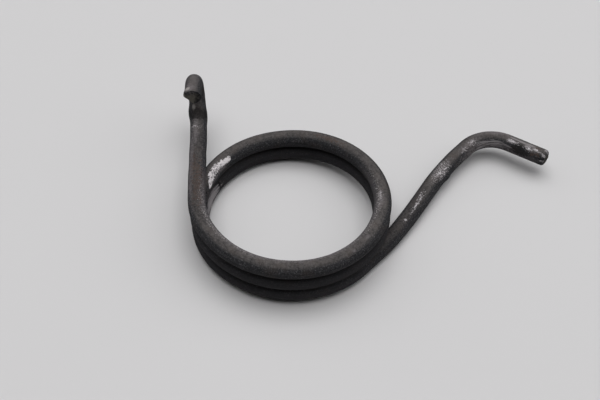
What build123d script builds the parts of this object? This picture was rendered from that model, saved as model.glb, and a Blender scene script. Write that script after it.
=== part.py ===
from build123d import *
from math import atan2, ceil, cos, degrees, radians, tan
import os

# A torsion spring, formed cold from one length of round spring wire.
#
# Frame: the coil's axis is Z, the underside of its lowest turn is at Z = 0, and the
# hooked arm leaves the top of the coil on the -X side and runs towards +Y.

# Wire (mm)
WIRE_D = 4.0

# Coil: left-hand, wound almost solid, and opened by a hair between the turns
COIL_INNER_D = 37.6
TURNS = 2.375
TURN_GAP = 0.1
COIL_START = 180.0  # degrees from +X, where the top turn begins
BENDS_PER_TURN = 8  # the turns are wound in bends this long, or a little shorter

# Upper arm, and the end that is folded back over it as a closed hook
ARM_LENGTH = 27.15
KINK_R = 12.0
HOOK_SKEW = 2.0  # degrees that both limbs of the hook stray to the outer side
HOOK_RUN_IN = 1.65
HOOK_INNER_R = 1.4
HOOK_STUB = 3.1  # straight wire after the fold
UPSET_LENGTH = 0.8  # the end that the shears squeezed out of round
UPSET_WIDTH = 4.2

# Lower leg: it eases out of the coil and rises, then is set twice the other way
RELEASE_R = 116.0
RELEASE_TURN = 8.1  # degrees in plan, away from the coil
LEG_RISE = 6.0  # degrees above the coil's own plane
LEG_STRAIGHT = 6.7
SET_R = 63.0
SET_TURN = 11.7
SET_LAND = 2.0  # between the two bends
ELBOW_INNER_R = 6.2
ELBOW_TURN = 77.4
TIP_RISE = 0.0
TIP_LENGTH = 9.95
TIP_CHAMFER = 0.6

FULL = 360.0
QUARTER = FULL / 4
WIRE_R = WIRE_D / 2
COIL_R = COIL_INNER_D / 2 + WIRE_R
PITCH = WIRE_D + TURN_GAP
COIL_RISE = TURNS * PITCH

# The coil's bends are equal, and the joints between them lie on one helix. Seen from
# above, the tangents at a bend's two ends meet at the same distance from both.
BENDS = ceil(TURNS * BENDS_PER_TURN)
BEND_PLAN = FULL * TURNS / BENDS
TANGENT_PLAN = COIL_R * tan(radians(BEND_PLAN / 2))
LEAD = degrees(atan2(COIL_RISE / BENDS / 2, TANGENT_PLAN))
TANGENT = TANGENT_PLAN / cos(radians(LEAD))


def heading(plan, rise):
    """A direction from its angle in plan, off +X, and its rise above the level."""
    return Vector(1, 0, 0).rotate(Axis.Y, -rise).rotate(Axis.Z, plan)


def section_at(point, travel):
    """The plane of the wire's round section at a point, facing the way the wire runs."""
    return Plane(origin=point, z_dir=travel)


def feed(at, length):
    """Straight wire from a section, and the section where it ends."""
    return extrude(at * Circle(WIRE_R), amount=length), at.offset(length)


def bend(at, radius, way):
    """Wire bent at a centre-line radius until it runs a given way, and its end section."""
    square = at.z_dir.cross(way).normalized()
    centre = at.origin + square.cross(at.z_dir) * radius
    hinge = Axis(centre, square)
    turn = at.z_dir.get_angle(way)
    piece = revolve(at * Circle(WIRE_R), axis=hinge, revolution_arc=turn)
    end = centre + (at.origin - centre).rotate(hinge, turn)
    return piece, section_at(end, way)


def coil(at, plan):
    """The wound turns, from the top down, and the section where the leg leaves them."""
    turns = []
    for joint in range(1, BENDS + 1):
        way = heading(plan + joint * BEND_PLAN, -LEAD)
        radius = TANGENT / tan(radians(at.z_dir.get_angle(way) / 2))
        piece, at = bend(at, radius, way)
        turns.append(piece)
    return turns, at


def upset_end(at):
    """The cut end of the hook, squeezed a little wider than the wire."""
    level = at.z_dir.cross(Vector(0, 0, 1))
    start = Plane(origin=at.origin, x_dir=level, z_dir=at.z_dir)
    face = start.offset(UPSET_LENGTH)
    return loft([start * Circle(WIRE_R), face * Ellipse(UPSET_WIDTH / 2, WIRE_R)])


def hooked_arm(at, plan):
    """The straight arm, the fold at its end and the short stub that lies back over it."""
    fold_r = HOOK_INNER_R + WIRE_R
    over = heading(plan + QUARTER, QUARTER - HOOK_SKEW)
    back = heading(plan + 2 * QUARTER - HOOK_SKEW, 0)
    arm, at = feed(at, ARM_LENGTH)
    kink, at = bend(at, KINK_R, heading(plan + HOOK_SKEW, 0))
    run_in, at = feed(at, HOOK_RUN_IN)
    rise, at = bend(at, fold_r, over)
    fall, at = bend(at, fold_r, back)
    stub, at = feed(at, HOOK_STUB)
    return [arm, kink, run_in, rise, fall, stub, upset_end(at)]


def lower_leg(at, plan):
    """The lower leg: out of the coil, a long set, the elbow and the tip."""
    released = plan + RELEASE_TURN
    passed = released - SET_TURN
    release, at = bend(at, RELEASE_R, heading(released, LEG_RISE))
    straight, at = feed(at, LEG_STRAIGHT)
    long_set, at = bend(at, SET_R, heading(passed, LEG_RISE))
    land, at = feed(at, SET_LAND)
    elbow, at = bend(at, ELBOW_INNER_R + WIRE_R, heading(passed - ELBOW_TURN, TIP_RISE))
    tip, at = feed(at, TIP_LENGTH)
    rim = tip.edges().filter_by(GeomType.CIRCLE).sort_by_distance(at.origin)[0]
    return [release, straight, long_set, land, elbow, chamfer(rim, TIP_CHAMFER)]


def torsion_spring():
    """The whole spring, as one solid, worked both ways from where the arm joins the coil."""
    start = Vector(COIL_R, 0, COIL_RISE + WIRE_R).rotate(Axis.Z, COIL_START)
    down = COIL_START + QUARTER
    travel = heading(down, -LEAD)
    arm = hooked_arm(section_at(start, -travel), down - 2 * QUARTER)
    turns, leg_start = coil(section_at(start, travel), down)
    leg = lower_leg(leg_start, down + FULL * TURNS)
    return turns[0].fuse(*turns[1:], *arm, *leg)


os.makedirs("parts", exist_ok=True)
export_step(torsion_spring(), "parts/torsion_spring.step")
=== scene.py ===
"""A used torsion spring, lying free on a plain pale floor."""

import logging
import math
from dataclasses import dataclass, field, replace
from typing import Any, Iterable, Sequence

import bmesh
import bpy
from mathutils import Euler, Matrix, Vector, noise


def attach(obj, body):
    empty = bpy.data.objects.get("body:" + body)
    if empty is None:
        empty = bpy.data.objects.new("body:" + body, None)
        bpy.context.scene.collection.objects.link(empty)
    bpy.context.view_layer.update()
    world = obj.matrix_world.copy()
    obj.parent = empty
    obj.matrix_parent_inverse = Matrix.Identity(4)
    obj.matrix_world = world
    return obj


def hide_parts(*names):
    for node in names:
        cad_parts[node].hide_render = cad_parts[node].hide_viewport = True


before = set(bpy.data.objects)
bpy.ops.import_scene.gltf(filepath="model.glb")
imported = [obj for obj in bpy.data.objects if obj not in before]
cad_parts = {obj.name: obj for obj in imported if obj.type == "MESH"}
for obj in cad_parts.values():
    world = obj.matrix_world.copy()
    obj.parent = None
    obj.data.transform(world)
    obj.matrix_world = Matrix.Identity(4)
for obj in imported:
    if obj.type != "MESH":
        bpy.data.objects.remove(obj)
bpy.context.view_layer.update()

log = logging.getLogger("spring")

MM = 0.001
UP = Vector((0, 0, 1))
ORIGIN = Vector((0, 0, 0))
WIRE_PLACE = "wire_place"
WELD = 0.001 * MM
SEEN = 3.0  # no wear is seen further from a patch's middle than this many times its half size
SPIN_STEPS = 48  # a long sweep is spun in lots, because each step goes over the whole mesh

Ring = Sequence[bmesh.types.BMEdge]


def heading(plan: float, rise: float) -> Vector:
    """A direction in space.

    Args:
        plan: degrees from +X, seen from above.
        rise: degrees above the level.

    Returns:
        The unit vector that points that way.
    """
    level = Vector((math.cos(math.radians(plan)), math.sin(math.radians(plan)), 0))
    return level * math.cos(math.radians(rise)) + UP * math.sin(math.radians(rise))


def on_wire(along: float, around: float, radius: float) -> Vector:
    """A point of the wire's surface, by its place in the straight wire.

    Args:
        along: its distance along the wire from where the arm joins the coil.
        around: degrees round the wire, from the outer side towards the coil's top.
        radius: the wire's radius.

    Returns:
        The place, in the unit of the lengths given.
    """
    turn = math.radians(around)
    return Vector((math.cos(turn) * radius, math.sin(turn) * radius, along))


def add_object(name: str, data: bpy.types.ID) -> bpy.types.Object:
    """Puts an object in the scene.

    Args:
        name: its name.
        data: its mesh, lamp or camera.

    Returns:
        The new object.
    """
    made = bpy.data.objects.new(name, data)
    bpy.context.scene.collection.objects.link(made)
    return made


def linear(hex_colour: str) -> tuple[float, float, float, float]:
    """A colour for a shader socket.

    Args:
        hex_colour: sRGB as "#rrggbb".

    Returns:
        The same colour as linear red, green and blue, with an alpha of 1.
    """
    parts = [int(hex_colour[start : start + 2], 16) / 255 for start in (1, 3, 5)]
    red, green, blue = (
        part / 12.92 if part <= 0.04045 else ((part + 0.055) / 1.055) ** 2.4 for part in parts
    )
    return red, green, blue, 1.0


# ------------------------------------------------------------------ the wire's form


@dataclass(frozen=True)
class Section:
    """A round section of the wire, where one run ends and the next one starts.

    Attributes:
        centre: the section's centre.
        travel: the way that the next run goes.
        outer: the side of the wire that faces away from the coil's axis as it is wound.
        along: metres of wire from where the arm joins the coil, less than 0 on the arm.
        sense: 1 where the runs go down the coil and out along the leg, -1 on the arm.
    """

    centre: Vector
    travel: Vector
    outer: Vector
    along: float = 0.0
    sense: int = 1

    def upper(self) -> Vector:
        """The side a quarter turn round from the outer one, towards the coil's top."""
        return self.outer.cross(self.travel) * self.sense

    def turned_back(self) -> "Section":
        """The same section, from which the runs go out along the arm."""
        return replace(self, travel=-self.travel, sense=-self.sense)

    def moved(self, turn: Matrix, pivot: Vector, shift: Vector, length: float) -> "Section":
        """The section after one step of a run.

        Args:
            turn: how the section turns.
            pivot: a point on the axis that it turns about.
            shift: how far it moves after the turn.
            length: metres of wire in the step.

        Returns:
            The new section.
        """
        return replace(
            self,
            centre=turn @ (self.centre - pivot) + pivot + shift,
            travel=turn @ self.travel,
            outer=turn @ self.outer,
            along=self.along + self.sense * length,
        )


@dataclass(frozen=True)
class Dent:
    """A small knock or lump in the wire's surface, in millimetres and degrees.

    Attributes:
        along: where it is along the wire, from where the arm joins the coil.
        around: where it is round the wire, from the outer side towards the coil's top.
        reach: how far it spreads.
        rise: how far it stands out of the surface, less than 0 for a dent.
        corner: whether it is at a cut end's corner, which gives way all in one direction.
    """

    along: float
    around: float
    reach: float
    rise: float
    corner: bool = False

    def centre(self, radius: float) -> Vector:
        """Its middle's place in the straight wire, in metres, for a radius in metres."""
        return on_wire(self.along * MM, self.around, radius)

    def lift(self, place: Vector, radius: float) -> float:
        """How far it lifts a point of the surface.

        Args:
            place: the point's place in the straight wire, in metres.
            radius: the wire's radius in metres.

        Returns:
            The lift in metres.
        """
        near = 1 - (place - self.centre(radius)).length / (self.reach * MM)
        return self.rise * MM * near * near * (3 - 2 * near) if near > 0 else 0.0


@dataclass(frozen=True)
class Relief:
    """Roughness that the surface has all over.

    Attributes:
        height: how far it stands out or in, in millimetres.
        fineness: how many lumps there are in a millimetre, about.
    """

    height: float
    fineness: float

    def at(self, spot: Vector) -> float:
        """How far it stands out at a place in the straight wire, both in millimetres."""
        return self.height * noise.noise(spot * self.fineness)


@dataclass(frozen=True)
class Drift:
    """A stretch of wire that strays from its true line, in millimetres.

    Attributes:
        leaves: where it leaves the true line, along the wire.
        strays: where it has strayed the whole way.
        turns_back: where it starts to come back.
        returns: where it is back on the true line.
        shift: how far it strays.
    """

    leaves: float
    strays: float
    turns_back: float
    returns: float
    shift: tuple[float, float, float]

    def at(self, along: float) -> Vector:
        """How far the wire has strayed at a point.

        Args:
            along: the point's place along the wire, in millimetres.

        Returns:
            The shift there, in metres.
        """
        out = (along - self.leaves) / (self.strays - self.leaves)
        back = (self.returns - along) / (self.returns - self.turns_back)
        part = max(0.0, min(out, back, 1.0))
        return Vector(self.shift) * MM * part * part * (3 - 2 * part)


class WireFormer:
    """Draws the wire in one mesh, run by run, each from the section where the last one ended.

    Each vertex keeps its place in the straight wire that the spring was bent from, so that
    draw lines, scale and wear follow the wire round every bend.

    Attributes:
        waves: the slow unevenness of drawn wire.
        scale: the scale's own roughness.
        lumps: how a torn end stands out and in.
        tears: the finer roughness of a torn end.
        apart: what keeps the lumps from following the waves.
        torn_rim: how much faster the tears set in than the lumps, from an end's rim inwards.
    """

    waves: Relief = Relief(0.016, 0.45)
    scale: Relief = Relief(0.012, 1.3)
    lumps: Relief = Relief(0.16, 1.1)
    tears: Relief = Relief(0.08, 2.6)
    apart: Vector = Vector((7, 3, 1))
    torn_rim: float = 6.0

    def __init__(self, radius: float, sides: int, step: float) -> None:
        """Starts an empty mesh.

        Args:
            radius: the wire's radius.
            sides: vertices round a section.
            step: the longest step along the wire.
        """
        self.radius = radius
        self.sides = sides
        self.step = step
        self.mesh = bmesh.new()
        self.place = self.mesh.verts.layers.float_vector.new(WIRE_PLACE)

    def start(self, section: Section) -> tuple[bmesh.types.BMesh, Ring]:
        """A new mesh with one ring in it, to draw a run from.

        Args:
            section: where the ring lies.

        Returns:
            The mesh and the ring's edges.
        """
        run = bmesh.new()
        run.verts.layers.float_vector.new(WIRE_PLACE)
        facing = Matrix((section.outer, section.upper(), section.outer.cross(section.upper())))
        made = bmesh.ops.create_circle(
            run,
            segments=self.sides,
            radius=self.radius,
            matrix=Matrix.Translation(section.centre) @ facing.transposed().to_4x4(),
        )
        self.keep_place(run, made["verts"], section)
        return run, list(run.edges)

    @staticmethod
    def keep_place(
        run: bmesh.types.BMesh, verts: Iterable[bmesh.types.BMVert], section: Section
    ) -> None:
        """Writes the place of a ring's vertices in the straight wire.

        Args:
            run: the mesh that they are in.
            verts: the vertices.
            section: the section they lie on.
        """
        layer = run.verts.layers.float_vector[WIRE_PLACE]
        upper = section.upper()
        for vert in verts:
            out = vert.co - section.centre
            vert[layer] = (out.dot(section.outer), out.dot(upper), section.along)

    def join(self, run: bmesh.types.BMesh) -> None:
        """Adds a finished run to the wire.

        Args:
            run: its mesh, which is freed.
        """
        data = bpy.data.meshes.new("run")
        run.to_mesh(data)
        run.free()
        self.mesh.from_mesh(data)
        bpy.data.meshes.remove(data)

    def spin(
        self,
        section: Section,
        length: float,
        angle: float,
        pivot: Vector,
        axis: Vector,
        shift: Vector,
    ) -> Section:
        """Sweeps the wire's round section through a turn, a shift or both.

        Args:
            section: where the sweep starts.
            length: metres of wire in the sweep.
            angle: radians to turn.
            pivot: a point on the axis of the turn.
            axis: the direction of that axis.
            shift: how far the whole sweep moves, along the axis if it also turns.

        Returns:
            The section where it ends.
        """
        steps = max(2, math.ceil(length / self.step))
        turn = Matrix.Rotation(angle / steps, 3, axis)
        for done in range(0, steps, SPIN_STEPS):
            lot = min(SPIN_STEPS, steps - done)
            run, ring = self.start(section)
            bmesh.ops.spin(
                run,
                geom=ring,
                cent=pivot,
                axis=axis,
                dvec=shift / steps,
                angle=angle * lot / steps,
                steps=lot,
            )
            verts = list(run.verts)
            for first in range(self.sides, len(verts), self.sides):
                section = section.moved(turn, pivot, shift / steps, length / steps)
                self.keep_place(run, verts[first : first + self.sides], section)
            self.join(run)
        return section

    def feed(self, section: Section, length: float) -> Section:
        """Straight wire.

        Args:
            section: where it starts.
            length: metres of wire.

        Returns:
            The section where it ends.
        """
        return self.spin(section, length, 0.0, ORIGIN, UP, section.travel * length)

    def bend(self, section: Section, radius: float, way: Vector) -> Section:
        """A round bend, until the wire runs a given way.

        Args:
            section: where it starts.
            radius: the centre line's radius.
            way: the direction that the wire runs in after the bend.

        Returns:
            The section where it ends.
        """
        axis = section.travel.cross(way).normalized()
        pivot = section.centre + axis.cross(section.travel) * radius
        angle = section.travel.angle(way)
        return self.spin(section, radius * angle, angle, pivot, axis, ORIGIN)

    def wind(self, section: Section, turns: float, pitch: float) -> Section:
        """Turns wound about the Z axis, each lower than the last by the pitch.

        Args:
            section: where they start.
            turns: how many.
            pitch: the fall of one turn.

        Returns:
            The section where they end.
        """
        radius = section.centre.xy.length
        length = turns * math.hypot(2 * math.pi * radius, pitch)
        return self.spin(section, length, 2 * math.pi * turns, ORIGIN, UP, -UP * pitch * turns)

    def cut(self, section: Section, edge: float, rounds: int = 5, rings: int = 9) -> None:
        """A cut end: its rim, rounded or worn off, and its face.

        Args:
            section: where the rim starts.
            edge: how far in, and how far on, the rim is worn off.
            rounds: steps over the rim.
            rings: steps from the rim to the face's middle.
        """
        run, ring = self.start(section)
        size = 1.0
        depth = 0.0
        for number in range(1, rounds + rings):
            turn = min(number / rounds, 1.0) * math.pi / 2
            face = max(0, number - rounds) / rings
            grown = (1 - edge / self.radius * (1 - math.cos(turn))) * (1 - face)
            moved = section.travel * edge * (math.sin(turn) - depth)
            made = bmesh.ops.extrude_edge_only(run, edges=list(ring))["geom"]
            ring = [part for part in made if isinstance(part, bmesh.types.BMEdge)]
            verts = [part for part in made if isinstance(part, bmesh.types.BMVert)]
            bmesh.ops.translate(run, verts=verts, vec=moved)
            section = replace(section, centre=section.centre + moved)
            middle = Matrix.Translation(-section.centre)
            bmesh.ops.scale(run, verts=verts, vec=Vector((1, 1, 1)) * grown / size, space=middle)
            self.keep_place(run, verts, section)
            size = grown
            depth = math.sin(turn)
        face = bmesh.ops.contextual_create(run, geom=list(ring))["faces"]
        self.keep_place(run, bmesh.ops.poke(run, faces=face)["verts"], section)
        self.join(run)

    def facing(self, dent: Dent) -> Vector:
        """The way that the surface faces at a dent's middle.

        Args:
            dent: the dent.

        Returns:
            The normal of the nearest vertex.
        """
        centre = dent.centre(self.radius)
        nearest = min(self.mesh.verts, key=lambda vert: (vert[self.place] - centre).length)
        return nearest.normal.copy()

    def weather(self, dents: Sequence[Dent], drifts: Sequence[Drift]) -> None:
        """Welds the runs, and roughens them with scale, torn ends and single knocks.

        Args:
            dents: the single knocks and lumps.
            drifts: the stretches that stray from the wire's true line.
        """
        bmesh.ops.remove_doubles(self.mesh, verts=list(self.mesh.verts), dist=WELD)
        bmesh.ops.recalc_face_normals(self.mesh, faces=list(self.mesh.faces))
        self.mesh.normal_update()
        knocks = [dent for dent in dents if not dent.corner]
        corners = [(dent, self.facing(dent)) for dent in dents if dent.corner]
        for vert in self.mesh.verts:
            place = Vector(vert[self.place])
            spot = place / MM
            torn = 1 - min(1.0, place.xy.length / self.radius)
            lift = self.waves.at(spot) + self.scale.at(spot)
            lift += torn**0.5 * self.lumps.at(spot + self.apart / self.lumps.fineness)
            lift += min(1.0, torn * self.torn_rim) * self.tears.at(spot)
            lift = lift * MM + sum(dent.lift(place, self.radius) for dent in knocks)
            vert.co += vert.normal * lift
            for dent, way in corners:
                vert.co += way * dent.lift(place, self.radius)
            for drift in drifts:
                vert.co += drift.at(spot.z)

    def finish(self, name: str) -> bpy.types.Object:
        """The wire as an object, smooth all over.

        Args:
            name: the object's name.

        Returns:
            The new object.
        """
        bmesh.ops.recalc_face_normals(self.mesh, faces=list(self.mesh.faces))
        data = bpy.data.meshes.new(name)
        self.mesh.to_mesh(data)
        self.mesh.free()
        data.shade_smooth()
        return add_object(name, data)


@dataclass
class TorsionSpring:
    """The spring, one length of round wire. Lengths are in millimetres, angles in degrees."""

    wire_d: float = 4.0
    coil_inner_d: float = 37.6
    turns: float = 2.375
    turn_gap: float = 0.1
    coil_start: float = 180.0
    arm_length: float = 27.15
    kink_r: float = 12.0
    hook_skew: float = 2.0
    hook_run_in: float = 1.65
    hook_inner_r: float = 1.4
    hook_stub: float = 3.9
    hook_edge: float = 0.1
    release_r: float = 116.0
    release_turn: float = 8.1
    leg_rise: float = 6.0
    leg_straight: float = 6.7
    set_r: float = 63.0
    set_turn: float = 11.7
    set_land: float = 2.0
    elbow_inner_r: float = 6.2
    elbow_turn: float = 77.4
    tip_length: float = 10.1
    tip_edge: float = 0.85
    sides: int = 56
    step: float = 0.3
    dents: tuple[Dent, ...] = (
        Dent(119.6, 62.0, 0.8, 0.14),
        Dent(341.5, 100.0, 4.0, 0.1),
        Dent(344.7, 5.0, 1.9, 0.3),
        Dent(375.4, 0.0, 1.8, -0.25),
        Dent(-26.6, 180.0, 4.0, 0.22),
        Dent(-27.2, 0.0, 4.0, 0.28),
        Dent(-43.6, -35.0, 2.0, 0.28),
        Dent(-43.9, 32.0, 2.1, -0.6, corner=True),
    )
    drifts: tuple[Drift, ...] = (
        Drift(-25.0, 5.0, 262.0, 275.0, (0.0, 0.32, 0.0)),
        Drift(131.0, 150.0, 176.0, 196.0, (0.0, 0.22, 0.0)),
        Drift(260.0, 283.0, 311.0, 323.0, (0.22, 0.86, 0.0)),
        Drift(28.0, 42.0, 95.0, 110.0, (0.0, -0.14, 0.0)),
        Drift(52.0, 68.0, 90.0, 110.0, (0.08, 0.0, 0.0)),
        Drift(98.0, 112.0, 126.0, 140.0, (-0.12, 0.1, 0.0)),
        Drift(-28.0, -24.0, -19.0, -13.0, (0.18, 0.0, 0.0)),
        Drift(-12.0, -5.0, 6.0, 16.0, (-0.2, 0.0, 0.0)),
    )

    def build(self) -> bpy.types.Object:
        """The whole spring, worked both ways from where the arm joins the coil.

        Returns:
            The spring as one object.
        """
        radius = self.wire_d / 2
        coil_r = self.coil_inner_d / 2 + radius
        pitch = self.wire_d + self.turn_gap
        lead = math.degrees(math.atan2(pitch, 2 * math.pi * coil_r))
        outer = heading(self.coil_start, 0)
        start = Section(
            centre=(outer * coil_r + UP * (self.turns * pitch + radius)) * MM,
            travel=heading(self.coil_start + 90, -lead),
            outer=outer,
        )
        former = WireFormer(radius * MM, self.sides, self.step * MM)
        self._leg(former, former.wind(start, self.turns, pitch * MM))
        self._arm(former, start.turned_back())
        former.weather(self.dents, self.drifts)
        return former.finish("spring_wire")

    def _arm(self, former: WireFormer, at: Section) -> None:
        """The upper arm and the closed hook at its end.

        Args:
            former: what draws the wire.
            at: the section where the arm joins the coil, facing out along the arm.
        """
        plan = self.coil_start - 90
        fold_r = (self.hook_inner_r + self.wire_d / 2) * MM
        at = former.feed(at, self.arm_length * MM)
        at = former.bend(at, self.kink_r * MM, heading(plan + self.hook_skew, 0))
        at = former.feed(at, self.hook_run_in * MM)
        at = former.bend(at, fold_r, heading(plan + 90, 90 - self.hook_skew))
        at = former.bend(at, fold_r, heading(plan + 180 - self.hook_skew, 0))
        at = former.feed(at, (self.hook_stub - self.hook_edge) * MM)
        former.cut(at, self.hook_edge * MM)

    def _leg(self, former: WireFormer, at: Section) -> None:
        """The lower leg: out of the coil, its long set, the elbow and the tip.

        Args:
            former: what draws the wire.
            at: the section where the leg leaves the coil.
        """
        elbow_r = (self.elbow_inner_r + self.wire_d / 2) * MM
        released = self.coil_start + 90 + 360 * self.turns + self.release_turn
        passed = released - self.set_turn
        at = former.bend(at, self.release_r * MM, heading(released, self.leg_rise))
        at = former.feed(at, self.leg_straight * MM)
        at = former.bend(at, self.set_r * MM, heading(passed, self.leg_rise))
        at = former.feed(at, self.set_land * MM)
        at = former.bend(at, elbow_r, heading(passed - self.elbow_turn, 0))
        at = former.feed(at, (self.tip_length - self.tip_edge) * MM)
        former.cut(at, self.tip_edge * MM)


# ------------------------------------------------------------------ finishes


class Shader:
    """The nodes of a finish, or of the room."""

    def __init__(self, tree: bpy.types.NodeTree) -> None:
        """Starts with no nodes.

        Args:
            tree: the node tree to fill.
        """
        self.tree = tree
        self.tree.nodes.clear()

    def add(
        self, kind: str, inputs: dict[str | int, Any] | None = None, **settings: Any
    ) -> bpy.types.NodeSocket:
        """Adds one node, with its settings and links.

        Args:
            kind: the node's type, without its ShaderNode prefix.
            inputs: what goes into each input, a value or another node's output.
            **settings: the node's own settings.

        Returns:
            The first output that the settings leave in use, or None if it has none.
        """
        node = self.tree.nodes.new("ShaderNode" + kind)
        for name, value in settings.items():
            setattr(node, name, value)
        for name, value in (inputs or {}).items():
            used = [each for each in node.inputs if each.enabled]
            socket = used[name] if isinstance(name, int) else next(
                each for each in used if each.name == name
            )
            if isinstance(value, bpy.types.NodeSocket):
                self.tree.links.new(value, socket)
            else:
                socket.default_value = value
        return next((each for each in node.outputs if each.enabled), None)


def new_material(name: str) -> bpy.types.Material:
    """A material that takes its look from nodes.

    Args:
        name: its name.

    Returns:
        The material.
    """
    material = bpy.data.materials.new(name)
    material.use_nodes = True
    return material


@dataclass(frozen=True)
class Patch:
    """A place on the wire where its surface differs.

    Attributes:
        along: millimetres of wire from where the arm joins the coil, less than 0 on the arm.
        around: degrees round the wire, from the side that faces away from the coil's axis,
            towards the coil's top.
        length: its size along the wire in millimetres.
        width: its size round the wire in millimetres.
        lean: degrees that it leans off the wire's line.
    """

    along: float
    around: float
    length: float
    width: float
    lean: float = 0.0

    def reach(self, spots: Sequence[Vector], radius: float) -> Iterable[tuple[int, float]]:
        """How far the points near the patch are from its middle.

        Args:
            spots: places in the straight wire, in millimetres.
            radius: the wire's radius in millimetres.

        Returns:
            The number of each such point, and the square of its distance, which is 1 at
            the patch's edge.
        """
        middle = on_wire(self.along, self.around, radius)
        facing = Euler((math.radians(self.lean), 0, math.radians(self.around)))
        size = Vector((self.width, self.width / 2, self.length / 2))
        inward = Matrix.LocRotScale(middle, facing, size).inverted()
        for number, spot in enumerate(spots):
            if abs(spot.z - self.along) < self.length / 2 * SEEN:
                yield number, (inward @ spot).length_squared


@dataclass(frozen=True)
class Wear:
    """One kind of wear, painted light or painted shade, and where the wire shows it.

    Attributes:
        name: what the wire's mesh keeps its patches under.
        colour: what it turns the surface to.
        patches: where it is.
        grain: millimetres across the flakes that it breaks into.
        stretch: how many times longer than wide they are, along the wire.
        ragged: how strongly they break up a patch's edge.
        none: where it ends, as a reach in which 1 is a patch's plain edge.
        full: the reach inside which it is at its strongest.
        cover: how much of the surface it then changes.
    """

    name: str
    colour: str
    patches: tuple[Patch, ...]
    grain: float = 0.3
    stretch: float = 1.0
    ragged: float = 2.0
    none: float = 1.15
    full: float = 0.75
    cover: float = 1.0

    def mark(self, mesh: bpy.types.Mesh, spots: Sequence[Vector], radius: float) -> None:
        """Writes on the mesh how far each vertex is from the nearest patch.

        Args:
            mesh: the wire's mesh.
            spots: its vertices' places in the straight wire, in millimetres.
            radius: the wire's radius in millimetres.
        """
        nearest = [SEEN * SEEN] * len(spots)
        for patch in self.patches:
            for number, reach in patch.reach(spots, radius):
                nearest[number] = min(nearest[number], reach)
        mesh.attributes.new(self.name, "FLOAT", "POINT").data.foreach_set("value", nearest)

    def over(
        self, shader: Shader, colour: bpy.types.NodeSocket, spot: bpy.types.NodeSocket
    ) -> bpy.types.NodeSocket:
        """Puts the wear on a surface.

        Args:
            shader: the material.
            colour: the surface's colour without it.
            spot: the place in the straight wire, in millimetres.

        Returns:
            The surface's colour with it.
        """
        nearest = shader.add("Attribute", attribute_name=self.name).node.outputs["Fac"]
        drawn = shader.add(
            "VectorMath", {0: spot, 1: (1, 1, 1 / self.stretch)}, operation="MULTIPLY"
        )
        flakes = shader.add("TexNoise", {"Vector": drawn, "Scale": 1 / self.grain, "Detail": 2.0})
        flakes = shader.add("Math", {0: flakes, 1: -0.5}, operation="ADD")
        edge = shader.add(
            "Math", {0: flakes, 1: self.ragged * 2, 2: nearest}, operation="MULTIPLY_ADD"
        )
        worn = shader.add(
            "MapRange",
            {"Value": edge, "From Min": self.none, "From Max": self.full, "To Max": self.cover},
            interpolation_type="SMOOTHSTEP",
        )
        return shader.add(
            "Mix", {"Factor": worn, "A": colour, "B": linear(self.colour)}, data_type="RGBA"
        )


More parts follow.
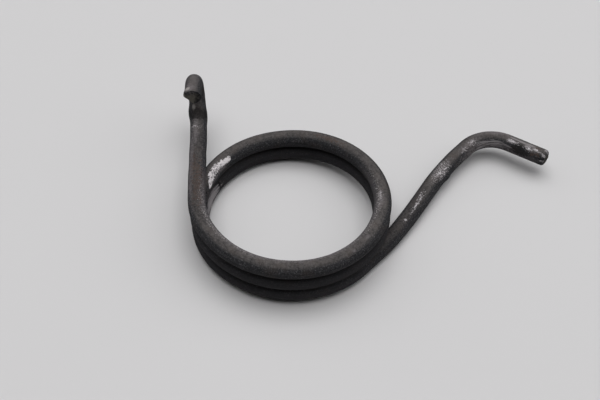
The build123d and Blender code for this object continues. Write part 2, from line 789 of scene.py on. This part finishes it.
@dataclass(frozen=True)
class OxidisedSteel:
    """Hard-drawn spring wire under the black-brown scale of its stress relief.

    The eye sees a dull, nearly black surface with a fine grain and faint draw lines along
    the wire. What faces up is greyer and a little brown: the grey is partly weathering and
    partly painted sheen of the light from above. Where the spring has worn, the scale has
    flaked off the paler steel in ragged spots.

    Attributes:
        radius: the wire's radius. This and all sizes below are in millimetres.
        grain: across a grain of the scale.
        line: from one draw line to the next.
        line_run: how many times longer than that a draw line is.
        bloom_grain: across a pale grain of the bloom.
        mottle: across a brown place, or a place where what faces up is greyer.
        relief: how deep the grain and the draw lines seem.
        scale_dark: the scale's darker shade.
        scale_grey: its paler shade.
        bloom: the colour of the pale grains.
        weathered_and_sheen: what faces up turns to this, partly weathering and partly painted
            sheen.
        rust: the colour of the brown places.
        cut_dark: a sheared face's darker shade.
        cut_pale: its paler shade.
        wear: the kinds of wear, painted light and painted shade, the lowest first.
    """

    name: str = "oxidised_spring_steel"
    radius: float = 2.0
    grain: float = 0.55
    line: float = 0.35
    line_run: float = 14.0
    bloom_grain: float = 0.28
    mottle: float = 3.2
    relief: float = 0.05
    scale_dark: str = "#28282a"
    scale_grey: str = "#363638"
    bloom: str = "#858284"
    # Paler grey for what faces up: partly weathering, partly painted sheen of the light from
    # above.
    weathered_and_sheen: str = "#756f6c"
    rust: str = "#473e39"
    cut_dark: str = "#2e2d2c"
    cut_pale: str = "#5d5a56"
    wear: tuple[Wear, ...] = (
        # Painted shade: the lower turns, a little darker and cooler, with the grain evened out, as
        # they lie in shade.
        Wear(
            "painted_lower_shade",
            "#2c2b2d",
            (Patch(222.0, 0.0, 180.0, 8.0),),
            grain=2.0, ragged=0.3, none=1.3, full=0.5, cover=0.65,
        ),
        # Dulled: the starts of the arm and the leg, a little darker; on the leg's start this is
        # the coil's painted shadow.
        Wear(
            "dulled_and_shadow",
            "#19191d",
            (
                Patch(322.0, 92.0, 34.0, 3.2),
                Patch(-6.0, 100.0, 34.0, 3.0),
            ),
            grain=2.0, ragged=0.3, none=1.3, full=0.5, cover=0.3,
        ),
        # Greyed: places a little paler than the rest; on the coil's inner sides this is painted
        # light.
        Wear(
            "greyed_and_lit",
            "#757072",
            (
                Patch(-39.0, -90.0, 11.0, 4.5),
                Patch(361.0, 118.0, 9.0, 2.4),
                Patch(62.0, 162.0, 30.0, 2.2),
                Patch(0.0, 162.0, 18.0, 2.2),
                Patch(371.0, 0.0, 9.0, 2.5),
            ),
            grain=1.0, ragged=0.6, none=1.3, full=0.2, cover=0.22,
        ),
        # Rubbed: a soft, thin greying of the scale; its long strip along the top turn's inner rim
        # is a painted highlight.
        Wear(
            "rubbed_and_highlight",
            "#757072",
            (
                Patch(363.5, 120.0, 9.0, 2.4),
                Patch(344.0, 82.0, 9.0, 2.6),
                Patch(355.0, 72.0, 8.0, 2.0),
                Patch(356.0, 12.0, 14.0, 2.6),
                Patch(364.0, 8.0, 9.0, 2.2),
                Patch(367.0, 76.0, 3.6, 1.6),
                Patch(372.2, 78.0, 4.0, 2.0),
                Patch(117.5, 151.0, 5.6, 1.5),
                Patch(120.8, 158.0, 4.4, 1.4),
                Patch(62.0, 112.0, 8.0, 2.2),
                Patch(50.6, 79.0, 1.6, 1.0),
                Patch(45.8, 66.0, 1.2, 0.9),
                Patch(28.0, 132.0, 80.0, 2.4),
                Patch(-10.0, 45.0, 30.0, 1.7),
                Patch(-20.0, 75.0, 11.0, 1.8),
                Patch(-42.6, -78.0, 3.0, 3.0),
            ),
            grain=0.45, ragged=1.6, none=1.3, full=-0.4, cover=0.6,
        ),
        # Sooted: dark places; on the arm under the hook's end this is painted shade, elsewhere oil
        # and dirt that the scale holds.
        Wear(
            "sooted_and_shade",
            "#1a1919",
            (
                Patch(-25.1, 92.0, 4.4, 4.8),
                Patch(-26.0, 12.0, 3.6, 3.2),
                Patch(-25.4, 150.0, 3.4, 3.0),
                Patch(369.2, 50.0, 3.2, 2.0),
                Patch(369.6, 26.0, 6.0, 2.2),
                Patch(126.5, 142.0, 1.0, 0.6),
            ),
            grain=0.5, ragged=1.0, none=1.3, full=0.2, cover=0.78,
        ),
        # Browned: the sheared face of the hook, where it is rough and olive brown.
        Wear(
            "browned",
            "#78746c",
            (Patch(-43.7, 5.0, 0.8, 3.0), Patch(-43.7, 50.0, 0.8, 2.6)),
            grain=0.8, ragged=0.8, none=1.4, full=0.2, cover=0.8,
        ),
        # Flecked: the scale is gone in fine flakes that lie along the wire.
        Wear(
            "flecked",
            "#a29ea0",
            (
                Patch(327.2, 75.0, 1.2, 0.8),
                Patch(333.4, 80.0, 8.0, 0.8, -3.0),
                Patch(335.4, 94.0, 3.4, 0.6),
                Patch(353.0, 62.0, 2.2, 0.8),
                Patch(356.0, 69.0, 2.4, 1.3),
                Patch(367.2, 73.0, 3.0, 1.0),
                Patch(371.4, 68.0, 2.2, 1.2),
                Patch(373.2, 80.0, 2.6, 1.1),
                Patch(374.1, 76.0, 1.4, 0.9),
                Patch(375.1, 108.0, 0.7, 1.0),
                Patch(375.1, 62.0, 0.7, 0.8),
                Patch(375.1, 15.0, 0.7, 0.7),
                Patch(-21.1, 60.0, 0.8, 1.2),
                Patch(-20.6, 95.0, 0.8, 1.2),
                Patch(63.9, 108.0, 2.4, 1.0),
            ),
            grain=0.26, stretch=1.8, ragged=5.0, none=0.6, full=-0.3, cover=0.75,
        ),
        # Grained: fine pale specks where the top turn faces its own middle, partly painted sheen
        # along that rim.
        Wear(
            "grained_and_sheen",
            "#aaa6a6",
            (
                Patch(12.0, 128.0, 36.0, 2.0),
                Patch(34.0, 138.0, 44.0, 1.5),
                Patch(60.0, 122.0, 26.0, 1.6),
            ),
            grain=0.24, stretch=1.3, ragged=5.0, none=0.0, full=-1.6, cover=0.75,
        ),
        # Flaked: a wide patch of finer and sparser flecks, where something rubbed the leg.
        Wear(
            "flaked",
            "#b3afb1",
            (
                Patch(343.8, 84.0, 8.4, 2.4),
                Patch(345.2, 110.0, 5.0, 1.8),
                Patch(343.6, 52.0, 4.6, 1.4),
                Patch(346.2, 60.0, 2.6, 1.2),
            ),
            grain=0.22, stretch=1.5, ragged=5.0, none=0.1, full=-1.3, cover=0.85,
        ),
        # Scored: long, faint lines that the bending tool left inside the elbow.
        Wear(
            "scored",
            "#a09c9d",
            (
                Patch(360.5, 40.0, 12.0, 0.8, 1.5),
                Patch(361.6, 20.0, 12.0, 0.8, -1.5),
                Patch(359.0, 0.0, 12.0, 0.7, -1.5),
                Patch(369.4, 99.0, 8.0, 1.0),
            ),
            grain=0.22, stretch=16.0, ragged=2.4, none=1.0, full=0.0, cover=0.55,
        ),
        # Scraped: a pale strip on a lower turn, with fine lines along it.
        Wear(
            "scraped",
            "#908c8e",
            (Patch(255.0, 155.0, 11.0, 2.4),),
            grain=0.22, stretch=9.0, ragged=1.5, none=1.2, full=0.3, cover=0.85,
        ),
        # Nicked: a short, dark nick across the end of that strip.
        Wear(
            "nicked",
            "#1a1919",
            (Patch(249.9, 152.0, 0.9, 2.2, 20.0),),
            ragged=0.8, full=0.4, cover=0.8,
        ),
        # Reddened: a thin brown-red rust on the scale.
        Wear(
            "reddened",
            "#54433b",
            (
                Patch(-3.0, 100.0, 16.0, 2.6),
                Patch(-9.0, 70.0, 9.0, 2.0),
                Patch(373.0, 101.0, 2.6, 1.2),
                Patch(373.2, 48.0, 3.0, 1.4),
                Patch(87.4, 100.0, 9.0, 1.8),
            ),
            grain=0.5, ragged=3.0, none=0.9, full=-0.2, cover=0.4,
        ),
        # Bared: the cores of the flecks and flakes, down to bright steel.
        Wear(
            "bared",
            "#d0cccf",
            (
                Patch(327.3, 75.0, 0.6, 0.4),
                Patch(331.8, 78.0, 2.4, 0.35),
                Patch(334.4, 79.0, 2.6, 0.35),
                Patch(335.0, 95.0, 1.6, 0.3),
                Patch(343.4, 78.0, 1.8, 0.6),
                Patch(345.3, 66.0, 1.2, 0.5),
                Patch(356.2, 69.0, 1.3, 0.7),
                Patch(367.0, 73.0, 2.0, 0.6),
                Patch(371.4, 68.0, 1.2, 0.7),
                Patch(373.2, 80.0, 1.4, 0.5),
                Patch(64.2, 108.0, 1.4, 0.4),
            ),
            grain=0.24, stretch=1.5, ragged=3.6, none=0.8, full=0.0, cover=0.8,
        ),
        # Scuffed: soft, pale spots: a painted highlight on the hook's end, and a pale bruise on
        # the arm under it.
        Wear(
            "scuffed_and_highlight",
            "#aaa5a2",
            (Patch(-42.9, -62.0, 1.5, 1.6), Patch(-27.5, 66.0, 2.6, 1.0)),
            grain=0.6, ragged=0.6, none=1.2, full=-0.1, cover=0.68,
        ),
        # Crusted: a white, powdery deposit.
        Wear(
            "crusted",
            "#dcd7d9",
            (
                Patch(114.9, 132.0, 3.0, 1.3),
                Patch(116.8, 124.0, 3.4, 1.45),
                Patch(118.6, 118.0, 3.8, 1.75),
                Patch(120.4, 122.0, 3.6, 1.65),
                Patch(122.1, 136.0, 3.0, 1.15),
                Patch(123.5, 149.0, 2.4, 0.9),
            ),
            grain=0.34, ragged=1.5, none=1.2, full=0.45, cover=0.95,
        ),
        # Pitted: where the deposit has come off again in specks.
        Wear(
            "pitted",
            "#4a4748",
            (
                Patch(117.5, 130.0, 2.0, 0.8),
                Patch(119.6, 124.0, 2.8, 1.2),
                Patch(118.2, 106.0, 2.2, 0.8),
                Patch(121.4, 134.0, 1.8, 0.6),
                Patch(123.0, 146.0, 1.6, 0.4),
            ),
            grain=0.24, ragged=4.0, none=0.7, full=-0.1, cover=0.8,
        ),
    )

    def put_on(self, wire: bpy.types.Object) -> None:
        """Gives the wire this finish.

        Args:
            wire: an object that a WireFormer drew.
        """
        mesh = wire.data
        spots = [each.vector / MM for each in mesh.attributes[WIRE_PLACE].data]
        for wear in self.wear:
            wear.mark(mesh, spots, self.radius)
        mesh.materials.append(self.material())

    def material(self) -> bpy.types.Material:
        """Builds the finish's material, which needs the marks that put_on leaves.

        Returns:
            The material.
        """
        made = new_material(self.name)
        shader = Shader(made.node_tree)
        place = shader.add("Attribute", attribute_name=WIRE_PLACE).node.outputs["Vector"]
        spot = shader.add("VectorMath", {0: place, "Scale": 1 / MM}, operation="SCALE")
        grain = shader.add("TexNoise", {"Vector": spot, "Scale": 1 / self.grain, "Detail": 3.0})
        drawn = shader.add(
            "VectorMath", {0: spot, 1: (1, 1, 1 / self.line_run)}, operation="MULTIPLY"
        )
        lines = shader.add("TexNoise", {"Vector": drawn, "Scale": 1 / self.line, "Detail": 2.0})
        tone = shader.add("Math", {0: grain, 1: lines}, operation="ADD")
        tone = shader.add(
            "MapRange",
            {"Value": tone, "From Min": 0.75, "From Max": 1.25},
            interpolation_type="SMOOTHSTEP",
        )
        colour = shader.add(
            "Mix",
            {"Factor": tone, "A": linear(self.scale_dark), "B": linear(self.scale_grey)},
            data_type="RGBA",
        )
        colour = self._weather(shader, colour, spot, grain)
        colour = self._cut_ends(shader, colour, spot, grain)
        for wear in self.wear:
            colour = wear.over(shader, colour, spot)
        rough = shader.add(
            "MapRange",
            {"Value": grain, "From Min": 0.3, "From Max": 0.7, "To Min": 0.78, "To Max": 0.92},
        )
        height = shader.add("Math", {0: grain, 1: 0.6, 2: lines}, operation="MULTIPLY_ADD")
        bump = shader.add(
            "Bump", {"Height": height, "Strength": 0.4, "Distance": self.relief * MM}
        )
        surface = shader.add(
            "BsdfPrincipled",
            {"Base Color": colour, "Roughness": rough, "Normal": bump, "Specular IOR Level": 0.05},
        )
        shader.add("OutputMaterial", {"Surface": surface})
        return made

    def _weather(
        self,
        shader: Shader,
        colour: bpy.types.NodeSocket,
        spot: bpy.types.NodeSocket,
        grain: bpy.types.NodeSocket,
    ) -> bpy.types.NodeSocket:
        """Blooms the scale with fine pale grains, greys what faces up, partly as painted sheen,
        and browns it in places.

        Args:
            shader: the material.
            colour: the scale's colour.
            spot: the place in the straight wire, in millimetres.
            grain: fine noise.

        Returns:
            The colour with its pale grains, its grey and painted sheen on what faces up, and its
            brown places.
        """
        fine = shader.add(
            "TexNoise", {"Vector": spot, "Scale": 1 / self.bloom_grain, "Detail": 1.0}
        )
        bloom = shader.add(
            "MapRange", {"Value": fine, "From Min": 0.54, "From Max": 0.8, "To Max": 0.35}
        )
        mottle = shader.add("TexNoise", {"Vector": spot, "Scale": 1 / self.mottle, "Detail": 2.0})
        # Painted sheen: what faces up is made greyer, partly weathering and partly the sheen of
        # the light from above.
        normal = shader.add("NewGeometry").node.outputs["Normal"]
        facing = shader.add("SeparateXYZ", {0: normal}).node.outputs["Z"]
        facing = shader.add(
            "MapRange",
            {"Value": facing, "From Min": 0.66, "From Max": 1.02, "To Max": 0.48},
            interpolation_type="SMOOTHSTEP",
        )
        broken = shader.add("Math", {0: mottle, 1: 0.5, 2: grain}, operation="MULTIPLY_ADD")
        broken = shader.add("MapRange", {"Value": broken, "From Min": 0.25, "From Max": 0.95})
        grey = shader.add("Math", {0: facing, 1: broken}, operation="MULTIPLY")
        brown = shader.add(
            "MapRange", {"Value": mottle, "From Min": 0.52, "From Max": 0.75, "To Max": 0.3}
        )
        for part, shade in ((bloom, self.bloom), (grey, self.weathered_and_sheen), (brown, self.rust)):
            colour = shader.add(
                "Mix", {"Factor": part, "A": colour, "B": linear(shade)}, data_type="RGBA"
            )
        return colour

    def _cut_ends(
        self,
        shader: Shader,
        colour: bpy.types.NodeSocket,
        spot: bpy.types.NodeSocket,
        grain: bpy.types.NodeSocket,
    ) -> bpy.types.NodeSocket:
        """Darkens the sheared faces of the two ends, and speckles them.

        Args:
            shader: the material.
            colour: the colour of the wire's side.
            spot: the place in the straight wire, in millimetres.
            grain: fine noise.

        Returns:
            The colour with the ends.
        """
        across = shader.add("VectorMath", {0: spot, 1: (1, 1, 0)}, operation="MULTIPLY")
        out = shader.add("VectorMath", {0: across}, operation="LENGTH")
        inside = shader.add(
            "MapRange",
            {"Value": out, "From Min": self.radius * 0.88, "From Max": self.radius * 0.7},
            interpolation_type="SMOOTHSTEP",
        )
        speck = shader.add("MapRange", {"Value": grain, "From Min": 0.48, "From Max": 0.68})
        face = shader.add(
            "Mix",
            {"Factor": speck, "A": linear(self.cut_dark), "B": linear(self.cut_pale)},
            data_type="RGBA",
        )
        return shader.add("Mix", {"Factor": inside, "A": colour, "B": face}, data_type="RGBA")


@dataclass(frozen=True)
class PaleFloor:
    """A plain, painted floor. The eye sees an even, pale grey with no gloss."""

    name: str = "pale_floor"
    colour: str = "#d0cfd0"
    rough: float = 0.85

    def material(self) -> bpy.types.Material:
        """Builds the finish.

        Returns:
            The material.
        """
        made = new_material(self.name)
        shader = Shader(made.node_tree)
        surface = shader.add(
            "BsdfPrincipled", {"Base Color": linear(self.colour), "Roughness": self.rough}
        )
        shader.add("OutputMaterial", {"Surface": surface})
        return made


# ------------------------------------------------------------------ the studio


@dataclass
class Floor:
    """The surface that the spring comes to rest on, touching two of its sides.

    Attributes:
        up: the way up from the floor, in the spring's own frame, as it comes to rest on
            the back left of its lowest turn and on the start of its leg.
        side: the floor's length and width in metres.
    """

    up: tuple[float, float, float] = (0.02242, -0.05524, 0.99822)
    side: float = 3.0

    def build(self, spring: bpy.types.Object) -> bpy.types.Object:
        """Lays the floor against the spring's lowest points.

        Args:
            spring: what rests on it.

        Returns:
            The floor.
        """
        up = Vector(self.up).normalized()
        height = min(vert.co.dot(up) for vert in spring.data.vertices)
        mesh = bmesh.new()
        facing = UP.rotation_difference(up).to_matrix().to_4x4()
        place = Matrix.Translation(up * height) @ facing
        bmesh.ops.create_grid(mesh, x_segments=1, y_segments=1, size=self.side / 2, matrix=place)
        data = bpy.data.meshes.new("floor")
        mesh.to_mesh(data)
        mesh.free()
        data.materials.append(PaleFloor().material())
        floor = add_object("floor", data)
        return floor


@dataclass
class Camera:
    """A hand-held close view from the front, looking down at the spring.

    Attributes:
        aim: the point on the line of sight nearest to the spring's middle, in millimetres.
        distance: millimetres from there to the camera.
        azimuth: degrees, clockwise from +Y, that the camera looks in.
        elevation: degrees above the coil's plane.
        roll: degrees that the camera leans clockwise.
        lens: focal length in millimetres.
        sensor: the sensor's width in millimetres.
        clip: metres from the camera, nearer than which nothing is drawn.
    """

    aim: tuple[float, float, float] = (2.114, -0.993, 10.956)
    distance: float = 226.594
    azimuth: float = 3.0928
    elevation: float = 48.3133
    roll: float = 0.5383
    lens: float = 60.55
    sensor: float = 36.0
    clip: float = 0.01

    def build(self) -> bpy.types.Object:
        """Sets the scene's camera.

        Returns:
            The camera.
        """
        forward = heading(90 - self.azimuth, -self.elevation)
        right = heading(-self.azimuth, 0)
        above = right.cross(forward)
        lean = Matrix.Rotation(math.radians(self.roll), 3, forward)
        right, above = lean @ right, lean @ above
        data = bpy.data.cameras.new("camera")
        data.lens = self.lens
        data.sensor_width = self.sensor
        data.clip_start = self.clip
        camera = add_object("camera", data)
        facing = Matrix((right, above, -forward)).transposed().to_4x4()
        place = (Vector(self.aim) - forward * self.distance) * MM
        camera.matrix_world = Matrix.Translation(place) @ facing
        bpy.context.scene.camera = camera
        return camera


@dataclass(frozen=True)
class Softbox:
    """A square soft lamp.

    Attributes:
        plan: degrees from +X that it stands at, seen from above.
        rise: degrees above the level.
        size: metres across.
        level: how brightly it alone would light a white floor under it, where 1 is white.
        distance: metres from the spring.
    """

    plan: float
    rise: float
    size: float
    level: float
    distance: float = 2.0

    def build(self, name: str) -> bpy.types.Object:
        """Adds the lamp, facing the spring.

        Args:
            name: the lamp's name.

        Returns:
            The lamp.
        """
        data = bpy.data.lights.new(name, "AREA")
        data.shape = "SQUARE"
        data.size = self.size
        # A white floor that faces a lamp at distance d returns about power / (pi * d) ** 2 of
        # radiance, and less of it as the lamp sinks.
        fall = math.sin(math.radians(self.rise))
        data.energy = self.level * (math.pi * self.distance) ** 2 / fall
        lamp = add_object(name, data)
        way = heading(self.plan, self.rise)
        lamp.matrix_world = Matrix.Translation(way * self.distance) @ (
            way.to_track_quat("Z", "Y").to_matrix().to_4x4()
        )
        return lamp


@dataclass
class Studio:
    """Soft lamps overhead, behind and at the sides, in a room with no light of its own.

    Attributes:
        softboxes: the lamps by name.
        room: how bright the room is to what it lights.
        seen: how bright it is to the camera, and in gloss and glass.
    """

    softboxes: dict[str, Softbox] = field(
        default_factory=lambda: {
            "overhead": Softbox(0.0, 89.0, 1.8, 0.72),
            "back": Softbox(90.0, 72.0, 1.8, 0.08),
            "back_right": Softbox(45.0, 62.0, 1.8, 0.07),
            "back_left": Softbox(135.0, 62.0, 1.8, 0.11),
            "right": Softbox(0.0, 40.0, 1.8, 0.165),
            "left": Softbox(180.0, 40.0, 1.8, 0.05),
            "low_left": Softbox(140.0, 25.0, 1.8, 0.03),
        }
    )
    room: float = 0.0
    seen: float = 0.62

    def build(self) -> None:
        """Adds the lamps and the room."""
        for name, softbox in self.softboxes.items():
            softbox.build(name)
        world = bpy.data.worlds.new("room")
        world.use_nodes = True
        shader = Shader(world.node_tree)
        rays = shader.add("LightPath").node.outputs
        seen = rays["Is Camera Ray"]
        for other in ("Is Glossy Ray", "Is Transmission Ray"):
            seen = shader.add("Math", {0: seen, 1: rays[other]}, operation="MAXIMUM")
        strength = shader.add(
            "MapRange", {"Value": seen, "To Min": self.room, "To Max": self.seen}
        )
        surface = shader.add("Background", {"Color": (1, 1, 1, 1), "Strength": strength})
        shader.add("OutputWorld", {"Surface": surface})
        bpy.context.scene.world = world


def main() -> None:
    """Builds the spring on its floor, and logs each piece."""
    logging.basicConfig(level=logging.INFO, format="%(name)s: %(message)s")
    spring = TorsionSpring().build()
    OxidisedSteel().put_on(spring)
    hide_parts("torsion_spring")
    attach(spring, "root")
    log.info("%s: %d faces", spring.name, len(spring.data.polygons))
    floor = Floor().build(spring)
    log.info("%s: %.1f m across", floor.name, max(floor.dimensions))
    Camera().build()
    Studio().build()
    bpy.context.scene.view_settings.view_transform = "Standard"


if __name__ == "__main__":
    main()
